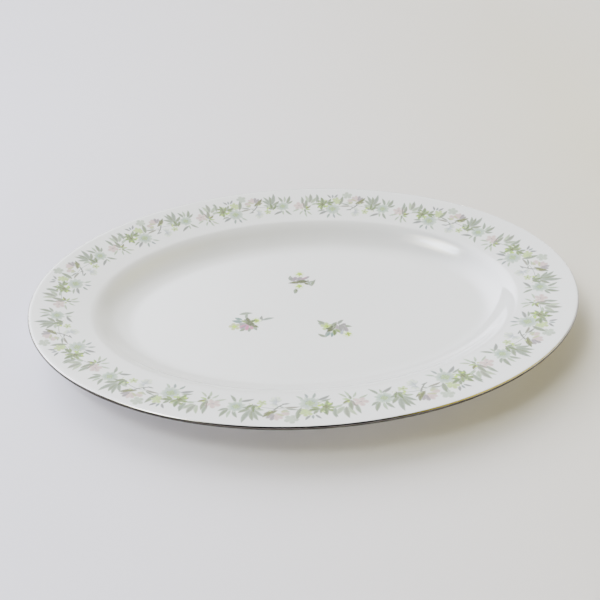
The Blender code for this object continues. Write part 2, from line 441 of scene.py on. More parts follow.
class Enamel:
    """Collects blades of raised enamel, and makes one mesh of each kind."""

    def __init__(self, edge_fade):
        self.kinds = {}
        self.order = 0
        self.edge_fade = edge_fade

    def blade(self, kind, frame, spine, half_widths, middle_tint, edge_tint, tip_tint=None):
        """A flat-topped sliver of enamel along a spine in millimetres, thinning out to its edges."""
        spine = np.asarray(spine, float)
        half = np.maximum(np.asarray(half_widths, float), THINNEST_BLADE)
        along = np.gradient(spine, axis=0)
        along /= np.maximum(np.linalg.norm(along, axis=1), 1e-9)[:, None]
        side = np.stack([-along[:, 1], along[:, 0]], axis=1)
        top = ENAMEL_LIFT + ENAMEL_LIFT_STEP * self.order
        self.order += 1
        # across the blade: share of its half width, height, and share of the edge's tint
        rows = (
            (1.0, ENAMEL_SUNK_EDGE, 0.9),
            (0.86, top * 0.7, 0.55),
            (0.50, top, 0.15),
            (0.0, top + ENAMEL_CROWN, 0.0),
            (-0.50, top, 0.15),
            (-0.86, top * 0.7, 0.55),
            (-1.0, ENAMEL_SUNK_EDGE, 0.9),
            (0.0, ENAMEL_UNDERSIDE, 0.0),
        )
        flat = np.stack([spine + side * (half * across)[:, None] for across, _, _ in rows], axis=1)
        lifts = np.array([lift for _, lift, _ in rows])
        count = len(spine)
        scaled = flat.reshape(-1, 2) * frame.scale / 1000
        shift = scaled[:, :1] * np.array(frame.x_axis) + scaled[:, 1:] * np.array(frame.y_axis)
        world = np.array(frame.origin) + shift
        height = surface_height(world[:, 0], world[:, 1], frame.inset)
        height = height + np.tile(lifts, count) / 1000
        points = np.column_stack([world, height])
        middle = np.array(middle_tint)
        edge = np.array(edge_tint)
        tip = middle if tip_tint is None else np.array(tip_tint)
        share = np.linspace(0.0, 1.0, count)[:, None]
        centre = middle * (1 - share) + tip * share
        thin = np.clip(np.abs(share - 0.5) * 2, 0, 1) ** 6 * END_FADE
        columns = []
        for _, _, fade in rows:
            ink = centre * (1 - fade) + edge * fade
            bare = np.clip(fade * self.edge_fade + thin, 0, 1)
            columns.append(ink * (1 - bare) + np.array(BARE_GLAZE) * bare)
        tints = np.stack(columns, axis=1).reshape(-1, 3)
        faces = []
        ring = len(rows)
        for station in range(count - 1):
            low = station * ring
            for corner in range(ring):
                after = (corner + 1) % ring
                faces.append((low + corner, low + after, low + ring + after, low + ring + corner))
        faces.append(tuple(reversed(range(ring))))
        faces.append(tuple(range((count - 1) * ring, count * ring)))
        self.kinds.setdefault(kind, []).append((points, faces, tints))

    def objects(self, prefix, material):
        """One mesh of each kind, with every point's paint colour in its tint attribute."""
        made = []
        for kind, blades in self.kinds.items():
            points, faces, tints = [], [], []
            offset = 0
            for blade_points, blade_faces, blade_tints in blades:
                points.append(blade_points)
                tints.append(blade_tints)
                faces += [tuple(corner + offset for corner in face) for face in blade_faces]
                offset += len(blade_points)
            points = np.concatenate(points)
            obj = build(f"{prefix}_{kind}", points, faces, material, 40.0)
            tint = obj.data.attributes.new("tint", "FLOAT_COLOR", "POINT")
            colours = np.column_stack([np.concatenate(tints), np.ones(len(points))])
            tint.data.foreach_set("color", colours.astype(np.float32).ravel())
            made.append(obj)
        return made


# ---- colours of the enamel


# How light a paint has to be to look like each shade of 0 to 255 under the studio light
SHADES = (0, 60, 87, 118, 145, 170, 185, 196, 209, 217, 230)
LIGHTNESS = (0.0, 0.022, 0.047, 0.085, 0.15, 0.235, 0.34, 0.47, 0.70, 0.88, 0.95)


def tint(red, green, blue):
    """Paint colour that looks like this shade under the studio light."""
    return tuple(float(np.interp(shade, SHADES, LIGHTNESS)) for shade in (red, green, blue))


SAGE = tint(156, 170, 147)
SAGE_PALE = tint(184, 193, 175)
SAGE_DARK = tint(150, 165, 130)
GREY_BLUE = tint(160, 173, 165)
GREY = tint(152, 156, 146)
GREEN = tint(144, 168, 84)
GREEN_DARK = tint(126, 150, 82)
GREEN_LIGHT = tint(170, 192, 96)
OLIVE = tint(138, 145, 66)
OLIVE_DARK = tint(124, 133, 62)
BROWN = tint(162, 156, 140)
CYAN = tint(158, 182, 173)
CYAN_DEEP = tint(130, 161, 150)
LAVENDER = tint(182, 187, 191)
LAVENDER_DEEP = tint(172, 174, 184)
LILAC = tint(172, 163, 168)
PINK = tint(202, 192, 190)
PINK_DEEP = tint(196, 150, 172)
CREAM = tint(194, 196, 166)
YELLOW = tint(190, 206, 0)
LIME = tint(190, 201, 148)
FOREST = tint(84, 98, 0)
CITRON = tint(164, 180, 0)
MOSS = tint(98, 126, 0)
MOSS_DARK = tint(98, 110, 0)
MAUVE = tint(166, 150, 162)
ROSE = tint(196, 134, 172)
WHITE = tint(213, 216, 205)
BARE_GLAZE = tint(213, 214, 212)


def mixed(first, second, share):
    return tuple(a * (1 - share) + b * share for a, b in zip(first, second))


class Painter:
    """Draws leaves, petals, blossoms, dots and stems; find_frame turns a place into a frame."""

    def __init__(self, enamel, find_frame, rng):
        self.enamel = enamel
        self.find_frame = find_frame
        self.rng = rng

    def leaf(self, kind, at, length, width, degrees, middle, edge, bend=0.12):
        """A pointed leaf whose foot is at this place, with one tint in its middle and one outside."""
        frame = self.find_frame(*at)
        degrees = degrees + self.rng.normal(0, 2.5)
        length = length * self.rng.uniform(0.95, 1.05)
        t = np.linspace(0.0, 1.0, BLADE_STATIONS)
        along = length * t
        across = bend * length * 4 * t * (1 - t) * 0.5
        half = width / 2 * np.sin(math.pi * np.clip(t * 0.96 + 0.02, 0, 1)) ** 0.8
        half *= 1.15 - 0.35 * t
        spine = turned(np.stack([along, across], axis=1), degrees)
        self.enamel.blade(kind, frame, spine, half, middle, edge)

    def stem(self, kind, at, points, width, colour):
        """A thin curved twig through points given from this place."""
        frame = self.find_frame(*at)
        points = np.asarray(points, float)
        t = np.linspace(0.0, 1.0, len(points))
        fine = np.linspace(0.0, 1.0, BLADE_STATIONS)
        order = min(len(points) - 1, 2)
        curves = [np.polyval(np.polyfit(t, values, order), fine) for values in points.T]
        spine = np.stack(curves, axis=1)
        half = width / 2 * (1.0 - 0.45 * fine)
        self.enamel.blade(kind, frame, spine, half, colour, colour)

    def petal(self, kind, at, start, length, width, degrees, middle, edge, round_tip=0.55, tip=None):
        """A petal that begins at a distance from this place and is widest near its tip."""
        frame = self.find_frame(*at)
        t = np.linspace(0.0, 1.0, 8)
        belly = np.sin(math.pi * t**round_tip * 0.5) * np.sqrt(np.clip(1 - t**6, 0, 1))
        half = width / 2 * np.maximum(belly, 0.16)
        half[-1] = width * 0.12
        spine = np.stack([start + length * t, np.zeros_like(t)], axis=1)
        self.enamel.blade(kind, frame, turned(spine, degrees), half, middle, edge, tip)

    def dot(self, at, radius, middle, edge, offset=(0.0, 0.0), kind="centres"):
        """A round spot of enamel."""
        frame = self.find_frame(*at)
        angle = np.linspace(math.pi, 0.0, BLADE_STATIONS)
        line = np.stack([radius * np.cos(angle), np.zeros(BLADE_STATIONS)], axis=1)
        for degrees in (0, 90) if radius > LARGE_DOT else (0,):
            across = turned(line, degrees)
            spine = across + np.asarray(offset)
            self.enamel.blade(kind, frame, spine, radius * np.sin(angle), middle, edge)

    def daisy(self, at, radius, petals, inner, outer, heart, rotation, heart_share):
        """A wide open flower: two rounds of pale petals and a soft stippled heart."""
        for layer, (share, shift) in enumerate(((1.0, 0.0), (0.84, 0.5))):
            for index in range(petals):
                degrees = rotation + (index + shift) * 360 / petals + self.rng.normal(0, 3)
                length = radius * share * self.rng.uniform(0.9, 1.06)
                lit = 0.5 + 0.5 * math.cos(math.radians(degrees - 130))
                near = mixed(inner, outer, 0.2 + 0.6 * lit * (1 - 0.4 * layer))
                start = radius * 0.12
                self.petal("daisies", at, start, length - start, radius * 0.42, degrees,
                           near, outer, 0.7, mixed(outer, WHITE, 0.55))
                vein = turned(np.array([(radius * 0.3, 0.0), (length * 0.9, 0.0)]), degrees)
                self.stem("daisies", at, vein, 0.45, mixed(inner, SAGE, 0.5))
        self.dot(at, radius * heart_share, heart, mixed(heart, WHITE, 0.6))
        self.dot(at, radius * heart_share * 0.5, mixed(heart, GREEN, 0.35), heart)
        for index in range(9):
            angle = index * 2 * math.pi / 9 + rotation
            away = radius * heart_share * self.rng.uniform(0.5, 0.9)
            offset = (away * math.cos(angle), away * math.sin(angle))
            self.dot(at, radius * 0.06, GREEN, OLIVE, offset)

    def blossom(self, at, radius, inner, outer, heart, rotation):
        """A small blossom with round petals."""
        for index in range(BLOSSOM_PETALS):
            degrees = rotation + index * 360 / BLOSSOM_PETALS + self.rng.normal(0, 3)
            start = radius * 0.08
            self.petal("blossoms", at, start, radius * 0.92, radius * 0.86, degrees, inner, outer)
        self.dot(at, radius * 0.2, heart, mixed(heart, outer, 0.4))


def turned(points, degrees):
    angle = math.radians(degrees)
    cos, sin = math.cos(angle), math.sin(angle)
    return points @ np.array([[cos, sin], [-sin, cos]])


# ---- the border's design


def leaves(p, group, rows):
    """Several leaves at once: foot, length, width, direction, middle colour and edge colour."""
    for row in rows:
        p.leaf(f"{group}_leaves", *row)


def paint_repeat(p):
    """One repeat of the border, from its first daisy to the gap before the next."""
    p.stem("stems", (14, 20), [(-8, 3), (-2, 0), (4, 0), (8, -2)], 0.7, SAGE)
    p.stem("stems", (33, 19), [(-11, -4), (-4, 0), (4, -2), (9, -2)], 0.6, SAGE)
    p.stem("stems", (56, 19), [(-9, 1), (-4, 0), (4, 1), (9, 0)], 0.7, SAGE_DARK)
    p.stem("stems", (78, 21), [(-9, 2), (-3, 1), (3, -1), (7, -2)], 0.6, SAGE)

    # the first daisy, with its fan of four leaves above and three below
    leaves(p, "sage", (
        ((5.6, 17.5), 9.8, 3.2, 111, SAGE_DARK, GREY_BLUE),
        ((5.0, 18.0), 6.4, 2.5, 143, SAGE, SAGE_PALE),
        ((8.6, 16.5), 8.6, 2.8, 68, SAGE, SAGE_PALE),
        ((7.2, 16.0), 7.5, 2.2, 96, SAGE_PALE, GREY_BLUE),
        ((7.5, 25.0), 8.5, 2.5, 240, SAGE, SAGE_PALE),
        ((10.0, 26.8), 8.6, 2.7, -30, GREY, GREY_BLUE),
        ((9.5, 26.0), 5.0, 1.8, 275, SAGE_PALE, SAGE_PALE),
    ))
    heart = mixed(LIME, CYAN_DEEP, 0.4)
    p.daisy((9.3, 20.6), 5.8, 9, CYAN_DEEP, CYAN, heart, 10, 0.40)

    # the tall fan of dark leaves
    leaves(p, "sage", (
        ((19.6, 18.5), 14.0, 3.8, 104, SAGE, GREY_BLUE),
        ((20.2, 18.0), 11.0, 3.4, 86, SAGE_DARK, SAGE),
        ((20.5, 18.0), 11.5, 3.2, 66, SAGE, SAGE_PALE),
        ((20.8, 18.5), 9.0, 3.0, 46, SAGE, SAGE_PALE),
        ((19.0, 19.0), 8.5, 3.2, 140, SAGE_DARK, SAGE),
        ((21.0, 19.5), 6.0, 2.6, 14, SAGE_PALE, SAGE),
        ((18.5, 20.5), 5.0, 2.4, 172, SAGE, SAGE_PALE),
    ))
    leaves(p, "green", (
        ((20.2, 24.0), 8.5, 3.4, 86, GREEN_DARK, SAGE_DARK),
        ((19.4, 24.0), 6.6, 3.0, 122, GREEN_DARK, SAGE_DARK),
        ((20.6, 24.0), 6.2, 2.8, 50, SAGE_DARK, GREEN),
        ((19.5, 23.0), 3.2, 2.0, 215, OLIVE_DARK, OLIVE),
    ))

    p.blossom((24.6, 26.2), 3.0, LIME, WHITE, YELLOW, 20)
    p.dot((24.8, 26.3), 0.9, OLIVE, LIME)

    # the bud on its dark olive leaf, a twig, and a large pale bell below
    leaves(p, "green", (
        ((35.8, 17.8), 11.0, 3.8, 139, OLIVE_DARK, OLIVE),
        ((36.2, 17.6), 8.6, 2.6, 156, OLIVE, BROWN),
        ((33.5, 17.2), 7.2, 2.4, 120, OLIVE, BROWN),
    ))
    bud = (34.0, 14.6)
    for degrees, length, width, shade in (
        (128, 6.0, 2.8, LILAC), (100, 6.6, 3.0, LILAC), (74, 6.8, 3.2, PINK),
        (48, 6.6, 3.2, PINK), (24, 5.6, 2.8, CREAM),
    ):
        p.petal("rosebuds", bud, 0.6, length, width, degrees, shade, mixed(shade, BROWN, 0.25))
    vein = [(0.5, 1.5), (-0.5, 4.0), (-2.5, 6.0)]
    p.stem("rosebuds", bud, vein, 0.9, mixed(LILAC, BROWN, 0.6))
    p.petal("rosebuds", (38.0, 14.0), 0.0, 5.0, 4.2, 0, PINK, CREAM)
    p.petal("rosebuds", (38.0, 15.5), 0.0, 4.4, 3.6, -30, CREAM, CREAM)

    p.stem("stems", (34.5, 20.5), [(-1.4, 3.0), (0.2, 0.0), (3.0, -2.8), (6.0, -5.0)], 1.5, GREY)
    leaves(p, "sage", (
        ((37.6, 25.2), 4.6, 1.5, -8, GREY, GREY_BLUE),
        ((36.0, 22.8), 3.6, 1.3, 30, GREY, SAGE_PALE),
    ))
    bell = (33.6, 26.6)
    for degrees, length in ((250, 5.6), (280, 6.4), (225, 4.4), (305, 4.8), (90, 4.6), (130, 3.6)):
        p.petal("blossoms", bell, 0.3, length, 3.4, degrees, LAVENDER, LAVENDER, 0.6, WHITE)
    p.stem("blossoms", bell, [(0.0, 3.0), (0.3, -1.0), (0.0, -5.0)], 0.6, LAVENDER_DEEP)

    # a pair of brownish leaves, a pale blossom by the lip and one upright leaf
    leaves(p, "sage", (
        ((39.6, 21.2), 9.0, 2.1, -4, BROWN, SAGE_PALE),
        ((40.6, 20.0), 6.6, 1.8, 12, GREY, SAGE_PALE),
        ((39.0, 18.4), 4.8, 1.6, 24, SAGE_PALE, CREAM),
    ))
    pale = mixed(GREY_BLUE, WHITE, 0.35)
    p.blossom((44.6, 7.6), 4.2, pale, SAGE_PALE, SAGE_PALE, 10)
    leaves(p, "green", (((50.4, 20.4), 11.6, 3.6, 106, SAGE_DARK, SAGE, 0.06),))

    # lime blossom, three grey buds and the bright green star
    p.blossom((53.4, 14.2), 3.8, LIME, CREAM, YELLOW, 30)
    p.blossom((52.6, 16.6), 2.6, LIME, LIME, YELLOW, 10)
    leaves(p, "sage", (
        ((55.8, 11.0), 5.2, 2.1, 124, GREY, LAVENDER_DEEP),
        ((57.4, 11.4), 4.0, 1.9, 92, GREY_BLUE, LAVENDER_DEEP),
        ((58.8, 11.8), 5.2, 2.0, 58, GREY, LAVENDER_DEEP),
    ))
    outer = mixed(CYAN, LAVENDER, 0.4)
    p.daisy((56.0, 25.0), 6.6, 10, CYAN_DEEP, outer, heart, 4, 0.44)
    leaves(p, "green", (
        ((62.6, 17.8), 7.2, 3.4, 170, GREEN_DARK, GREEN),
        ((61.6, 18.0), 5.4, 2.8, 204, GREEN, GREEN_LIGHT),
        ((61.0, 16.6), 4.8, 2.4, 124, SAGE_DARK, GREEN),
        ((65.6, 19.6), 8.4, 3.6, 84, GREEN_DARK, GREEN),
        ((65.8, 19.6), 7.4, 3.4, 48, GREEN, GREEN_DARK),
        ((65.4, 19.8), 6.8, 3.2, 122, GREEN, GREEN_DARK),
        ((65.8, 19.4), 7.0, 3.4, -84, GREEN, GREEN_LIGHT),
        ((65.2, 19.6), 6.0, 2.8, -126, GREEN_LIGHT, GREEN_LIGHT),
        ((66.0, 19.8), 5.6, 2.8, -44, GREEN, GREEN_LIGHT),
        ((66.2, 19.6), 6.0, 2.8, 8, GREEN, GREEN_LIGHT),
    ))
    p.dot((65.8, 19.8), 2.1, OLIVE_DARK, GREEN_DARK, kind="green_leaves")
    for at, radius, shade in (
        ((61.6, 21.6), 1.1, YELLOW), ((68.6, 17.0), 0.9, WHITE), ((63.6, 14.6), 1.0, LIME),
        ((68.4, 22.8), 1.0, YELLOW), ((62.6, 23.6), 0.8, WHITE), ((22.4, 20.6), 0.9, LIME),
        ((17.8, 24.6), 0.9, WHITE), ((24.0, 22.2), 0.9, YELLOW), ((31.2, 17.0), 0.8, LIME),
        ((84.8, 25.0), 0.9, LIME), ((80.6, 22.6), 0.9, YELLOW), ((86.2, 22.8), 0.8, WHITE),
    ):
        p.dot(at, radius, shade, shade)
    leaves(p, "sage", (
        ((71.4, 17.6), 10.0, 3.2, 93, SAGE, SAGE_PALE),
        ((69.8, 14.6), 6.6, 2.4, 76, SAGE, SAGE_PALE),
        ((51.6, 29.4), 6.0, 2.0, 224, SAGE_PALE, LAVENDER),
        ((54.4, 30.8), 5.2, 2.0, 254, GREY_BLUE, LAVENDER),
        ((58.0, 30.8), 5.6, 2.1, 292, GREY_BLUE, SAGE_PALE),
        ((61.0, 27.8), 8.0, 2.9, -32, GREY, LAVENDER),
        ((62.8, 26.4), 6.6, 2.0, -16, SAGE, SAGE_PALE),
    ))

    # the soft grey fan and the last pink flower with its dark calyx
    leaves(p, "sage", (
        ((77.0, 18.0), 8.6, 3.4, 126, mixed(SAGE_PALE, BROWN, 0.3), SAGE_PALE),
        ((78.2, 17.6), 11.0, 3.8, 95, mixed(SAGE, BROWN, 0.4), SAGE_PALE),
        ((79.2, 17.4), 9.4, 2.8, 76, SAGE_PALE, CREAM),
        ((76.2, 19.4), 5.4, 2.4, 164, SAGE_PALE, SAGE),
        ((85.0, 19.0), 9.4, 2.9, 89, SAGE, SAGE_PALE),
    ))
    p.blossom((88.0, 21.0), 4.6, PINK, mixed(PINK, WHITE, 0.5), LILAC, 12)
    p.petal("rosebuds", (84.6, 21.0), 0.0, 4.6, 3.4, 20, PINK, CREAM)
    leaves(p, "green", (
        ((82.9, 24.4), 10.6, 3.2, 99, SAGE_DARK, BROWN),
        ((83.0, 24.2), 8.6, 2.2, 76, BROWN, SAGE),
        ((82.4, 24.4), 5.8, 2.4, 150, OLIVE, GREEN),
        ((82.2, 24.8), 4.6, 2.0, 200, GREEN_LIGHT, LIME),
        ((82.6, 25.0), 4.6, 2.0, 262, SAGE_DARK, SAGE),
    ))
    leaves(p, "sage", (
        ((80.5, 27.4), 6.6, 1.8, 230, SAGE_PALE, CREAM),
        ((82.2, 28.0), 6.6, 1.8, 260, SAGE_PALE, SAGE_PALE),
        ((84.4, 27.0), 5.8, 1.7, 300, SAGE_PALE, SAGE_PALE),
        ((87.6, 25.0), 6.4, 1.8, -26, SAGE_PALE, SAGE_PALE),
    ))


# ---- the sprays in the well


def petals(p, kind, rows, shadow, share):
    """Several petals at once: foot, length, width, direction and middle colour."""
    for at, length, width, degrees, middle in rows:
        p.petal(kind, at, 0.0, length, width, degrees, middle, mixed(middle, shadow, share))


def paint_back_spray(p):
    leaves(p, "sage", (
        ((-5.6, 1.8), 6.8, 3.4, 90, SAGE_DARK, SAGE),
        ((8.4, -6.6), 9.4, 3.0, 64, SAGE_DARK, GREY_BLUE),
        ((8.0, -6.2), 8.4, 2.6, 98, SAGE, SAGE_PALE),
        ((6.6, -1.8), 5.0, 2.4, 18, SAGE, SAGE_PALE),
        ((-3.4, -8.0), 6.4, 3.8, 256, SAGE_DARK, SAGE),
        ((-3.2, -8.4), 4.0, 2.4, 262, MOSS_DARK, SAGE_DARK),
    ))
    p.stem("stems", (0, 0), [(-1, -3), (-2, -5.5), (-3.2, -9)], 1.0, SAGE_DARK)
    p.stem("stems", (0, 0), [(3, -1), (6, -2), (9, -5.5)], 0.9, SAGE)
    petals(p, "blossoms", (
        ((-4.4, 1.0), 6.4, 4.2, 62, MAUVE), ((-1.8, 0.8), 6.8, 4.4, 50, MAUVE),
        ((0.6, 1.4), 8.4, 3.2, 30, MAUVE), ((-5.0, 1.4), 5.4, 3.6, 96, GREY),
        ((-1.4, 3.0), 5.0, 3.8, 20, LILAC), ((2.4, 2.4), 7.0, 2.8, 32, LILAC),
        ((1.0, 2.0), 7.0, 1.1, 34, ROSE),
    ), BROWN, 0.3)
    for at in ((1.2, 9.6), (-0.6, -5.4)):
        p.blossom(at, 4.0, WHITE, LIME, YELLOW, 10)
        p.dot(at, 2.4, YELLOW, LIME)
        p.dot(at, 1.4, CITRON, YELLOW, (0.4, -0.2))
    leaves(p, "green", (
        ((-8.2, -0.8), 13.6, 3.6, -2, MOSS_DARK, OLIVE),
        ((-2.6, -0.6), 8.6, 4.2, 8, FOREST, MOSS_DARK),
        ((0.0, -1.4), 7.0, 3.4, 12, FOREST, FOREST),
        ((3.4, -2.0), 4.0, 2.4, -40, MOSS_DARK, OLIVE),
    ))


def paint_left_spray(p):
    leaves(p, "sage", (
        ((-5.4, 9.6), 10.0, 3.4, 2, SAGE, SAGE_PALE),
        ((-0.6, 4.0), 6.6, 2.6, 84, SAGE, SAGE_PALE),
        ((-3.0, 1.2), 8.0, 3.8, 164, CYAN_DEEP, GREY_BLUE),
        ((-3.4, 3.6), 6.2, 3.2, 150, CYAN_DEEP, CYAN),
        ((9.8, 0.0), 6.6, 2.8, 84, GREY, SAGE_PALE),
        ((9.8, 1.2), 9.4, 2.8, 12, GREY_BLUE, SAGE_PALE),
        ((-2.2, -6.2), 5.0, 3.0, 222, SAGE_DARK, GREY),
        ((0.6, -5.6), 5.2, 3.0, 262, SAGE, SAGE),
        ((3.4, -5.0), 5.2, 3.0, 292, SAGE, SAGE_PALE),
    ))
    p.stem("stems", (0, 0), [(3, 0.5), (7, 1.5), (11, 1.6)], 0.7, SAGE)
    petals(p, "rosebuds", (
        ((-0.4, -1.0), 7.0, 4.4, 190, LILAC), ((-0.6, -2.0), 6.8, 4.2, 222, MAUVE),
        ((0.0, -2.4), 6.6, 4.2, 256, ROSE), ((0.4, -1.6), 7.6, 2.6, 206, ROSE),
        ((0.8, -2.6), 6.0, 2.4, 240, ROSE), ((1.8, -3.2), 5.0, 3.2, 280, PINK_DEEP),
    ), LILAC, 0.4)
    p.blossom((5.9, 1.3), 4.0, WHITE, LIME, YELLOW, 0)
    p.blossom((-9.4, -3.6), 4.2, CREAM, LIME, YELLOW, 30)
    p.dot((5.9, 1.3), 2.4, YELLOW, LIME)
    p.dot((-9.4, -3.6), 1.9, YELLOW, LIME)
    p.dot((5.9, 1.3), 1.6, CITRON, YELLOW, (0.3, -0.3))
    leaves(p, "green", (
        ((4.6, -5.0), 11.0, 4.6, 124, FOREST, MOSS),
        ((1.6, -2.2), 8.2, 4.4, 104, FOREST, MOSS_DARK),
        ((-1.6, 2.8), 9.6, 3.8, -42, FOREST, MOSS),
        ((1.6, -0.6), 6.0, 3.4, 30, MOSS, GREEN),
        ((2.2, -3.4), 6.0, 3.2, -28, MOSS_DARK, GREEN),
        ((0.2, 0.4), 5.0, 2.8, 150, GREEN, GREEN_LIGHT),
    ))


def paint_right_spray(p):
    leaves(p, "sage", (
        ((-4.2, 5.2), 7.8, 3.4, 138, SAGE_DARK, SAGE),
        ((-3.6, 4.4), 7.0, 3.0, 164, SAGE, SAGE_PALE),
        ((5.2, 1.6), 8.2, 3.0, -6, SAGE_DARK, SAGE),
        ((3.4, 4.2), 6.6, 3.0, 40, GREY, SAGE_PALE),
        ((-5.8, -8.6), 6.6, 3.0, 138, SAGE_DARK, GREY),
        ((-2.8, -2.6), 7.4, 3.2, 232, CYAN_DEEP, GREY_BLUE),
        ((-4.2, -2.2), 6.6, 2.8, 246, GREY_BLUE, CYAN),
        ((-1.6, -3.6), 6.0, 2.6, 262, CYAN_DEEP, CYAN),
    ))
    p.stem("stems", (0, 0), [(-2, -2), (-5, -5), (-7, -9)], 0.9, SAGE_DARK)
    grey_lilac = mixed(LILAC, GREY, 0.4)
    petals(p, "blossoms", (
        ((3.0, 3.6), 8.4, 3.8, 266, LILAC), ((5.2, 4.0), 9.0, 4.0, 272, grey_lilac),
        ((7.6, 2.8), 7.6, 3.8, 280, LILAC), ((4.0, 1.4), 6.0, 3.6, 30, grey_lilac),
        ((6.2, -2.0), 5.4, 3.2, 250, LAVENDER), ((4.4, 4.4), 9.0, 1.6, 270, GREY),
        ((6.6, 3.2), 7.0, 1.4, 284, GREY),
    ), BROWN, 0.3)
    p.blossom((-4.4, 2.8), 4.6, LIME, CREAM, YELLOW, 15)
    p.dot((-4.4, 2.8), 2.2, YELLOW, LIME)
    p.dot((-4.4, 2.8), 1.3, CITRON, LIME, (0.3, 0.0))
    p.blossom((8.6, -7.2), 3.8, WHITE, LIME, YELLOW, 45)
    p.dot((9.2, -7.3), 2.4, YELLOW, LIME)
    p.dot((9.2, -7.3), 1.7, CITRON, YELLOW)
    leaves(p, "green", (
        ((-3.2, -3.6), 11.4, 4.6, 58, FOREST, MOSS_DARK),
        ((-0.6, 0.0), 7.6, 4.2, 62, SAGE_DARK, FOREST),
        ((0.6, 0.0), 6.6, 4.0, 172, FOREST, MOSS),
        ((0.0, -0.8), 7.2, 3.4, 266, MOSS, GREEN_LIGHT),
        ((0.8, -0.6), 5.8, 3.2, 302, GREEN, LIME),
        ((-0.8, 0.0), 5.6, 3.6, 214, FOREST, MOSS),
    ))
    p.dot((2.6, -6.6), 1.2, WHITE, WHITE)


# ---- materials


CHINA_DEEP = (0.800, 0.808, 0.772)
CHINA_PALE = (0.818, 0.824, 0.786)
CHINA_PIT = (0.66, 0.63, 0.57)
ENAMEL_STIPPLE = (0.80, 0.81, 0.70)
# The platinum line's painted shade: far darker than platinum's own colour, painted on its lower part
# as a dark reflection
PLATINUM_PAINTED_SHADE = ((0.045, 0.041, 0.036), (0.085, 0.078, 0.068))
PLATINUM_BRIGHT = ((0.52, 0.50, 0.46), (0.66, 0.64, 0.60))
PLATINUM_WORN = (0.80, 0.79, 0.77)
CLAY = ((0.70, 0.66, 0.58), (0.78, 0.75, 0.68))
CLAY_RUBBED = (0.42, 0.40, 0.37)
# Studio paper with painted light: painted cool light on the left, painted warm shade on the right; far
# out it fades to one even tone
PAPER_LEFT_PAINTED_COOL_LIGHT = (0.885, 0.876, 0.985)
PAPER_RIGHT_PAINTED_WARM_SHADE = (0.685, 0.645, 0.500)
PAPER_FAR = (0.785, 0.770, 0.780)


def shader_material(name):
    made = bpy.data.materials.new(name)
    made.use_nodes = True
    tree = made.node_tree
    return made, tree, tree.nodes["Principled BSDF"]


def new_node(tree, kind, inputs, **settings):
    node = tree.nodes.new(kind)
    for name, value in settings.items():
        setattr(node, name, value)
    set_inputs(tree, node, inputs)
    return node


def set_inputs(tree, node, inputs):
    """Links the sockets among these inputs, and sets the other values."""
    for name, value in inputs.items():
        if isinstance(value, bpy.types.NodeSocket):
            tree.links.new(value, node.inputs[name])
        else:
            node.inputs[name].default_value = value


def own_place(tree):
    """The piece's own coordinates, in metres."""
    return tree.nodes.new("ShaderNodeTexCoord").outputs["Object"]


def noise(tree, scale, detail, roughness):
    """Noise on the piece's own coordinates; scale is in cells per metre."""
    inputs = {"Vector": own_place(tree), "Scale": scale, "Detail": detail, "Roughness": roughness}
    return new_node(tree, "ShaderNodeTexNoise", inputs).outputs["Fac"]


def mapped(tree, value, low, high, new_low, new_high):
    """The value, with low to high spread over new_low to new_high and held there beyond them."""
    inputs = {"Value": value, "From Min": low, "From Max": high, "To Min": new_low, "To Max": new_high}
    return new_node(tree, "ShaderNodeMapRange", inputs, clamp=True).outputs["Result"]


def mix_colour(tree, share, first, second, blend_type="MIX"):
    """A mix of two colours; each argument is a socket or a fixed value."""
    inputs = {"Factor": share}
    for name, colour in (("A", first), ("B", second)):
        inputs[name] = (*colour, 1.0) if isinstance(colour, tuple) else colour
    node = new_node(tree, "ShaderNodeMix", inputs, data_type="RGBA", blend_type=blend_type)
    return node.outputs["Result"]


def bump(tree, height, strength, distance):
    inputs = {"Height": height, "Strength": strength, "Distance": distance}
    return new_node(tree, "ShaderNodeBump", inputs).outputs["Normal"]


def vector_math(tree, operation, *values):
    return new_node(tree, "ShaderNodeVectorMath", dict(enumerate(values)), operation=operation)


def named_value(tree, name, output):
    """The value that the mesh's points carry under this name."""
    return new_node(tree, "ShaderNodeAttribute", {}, attribute_name=name).outputs[output]


def washed(tree, colour, value):
    """The colour, made darker or lighter by this value."""
    grey = new_node(tree, "ShaderNodeCombineColor", {"Red": value, "Green": value, "Blue": value})
    return mix_colour(tree, 1.0, colour, grey.outputs["Color"], "MULTIPLY")


def glaze_material():
    """Clear glaze over white china: faint tone clouds, tiny pits and a gentle undulation."""
    made, tree, shader = shader_material("china_glaze")
    clouds = noise(tree, 14.0, 4.0, 0.55)
    share = mapped(tree, clouds, 0.35, 0.65, 0.0, 1.0)
    base = mix_colour(tree, share, CHINA_DEEP, CHINA_PALE)
    grain = noise(tree, 900.0, 2.0, 0.6)
    speck = mapped(tree, grain, 0.735, 0.775, 0.0, 0.35)
    set_inputs(tree, shader, {
        "Base Color": mix_colour(tree, speck, base, CHINA_PIT),
        "Roughness": mapped(tree, noise(tree, 45.0, 5.0, 0.6), 0.3, 0.7, 0.075, 0.135),
        "IOR": 1.52,
        "Coat Weight": 0.7,
        "Coat Roughness": 0.05,
        "Normal": bump(tree, noise(tree, 38.0, 2.0, 0.45), 0.25, 0.00025),
    })
    return made


def enamel_material():
    """Overglaze enamel: the painted tints, stippled like a printed transfer."""
    made, tree, shader = shader_material("transfer_enamel")
    stipple = mapped(tree, noise(tree, 2600.0, 2.0, 0.7), 0.38, 0.66, 0.0, 0.12)
    colour = mix_colour(tree, stipple, named_value(tree, "tint", "Color"), ENAMEL_STIPPLE)
    wash = mapped(tree, noise(tree, 380.0, 3.0, 0.5), 0.3, 0.7, 0.90, 1.06)
    set_inputs(tree, shader, {
        "Base Color": washed(tree, colour, wash),
        "Roughness": mapped(tree, noise(tree, 700.0, 3.0, 0.5), 0.3, 0.7, 0.12, 0.24),
        "IOR": 1.5,
        "Specular IOR Level": 0.28,
    })
    return made


